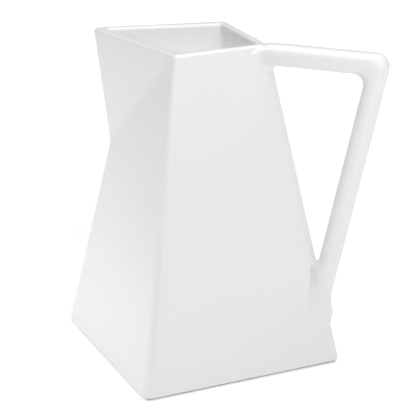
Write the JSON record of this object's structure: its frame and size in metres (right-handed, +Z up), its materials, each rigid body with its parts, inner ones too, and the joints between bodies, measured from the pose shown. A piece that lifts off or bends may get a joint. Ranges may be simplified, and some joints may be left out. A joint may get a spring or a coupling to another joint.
{
  "type": "ceramic pitcher",
  "caption": "Tall square-based ceramic pitcher in white glaze, with a folded pouring spout on one corner and an angular handle on the opposite corner.",
  "frame": {"origin": "on the table, under the middle of the whole pitcher", "axes": "+Z up, +X from the spout towards the handle, +Y across the pitcher"},
  "size_m": [0.2388, 0.2088, 0.2312],
  "materials": {
    "white_glaze": "gloss",
    "bare_foot": "matte"
  },
  "bodies": {
    "root": {"body_wall": "white_glaze", "spout": "white_glaze", "floor": "white_glaze", "foot_ring": "bare_foot", "handle_upper_arm": "white_glaze", "handle_grip": "white_glaze", "upper_slip_joint": "white_glaze", "lower_slip_joint": "white_glaze"}
  },
  "joints": []
}
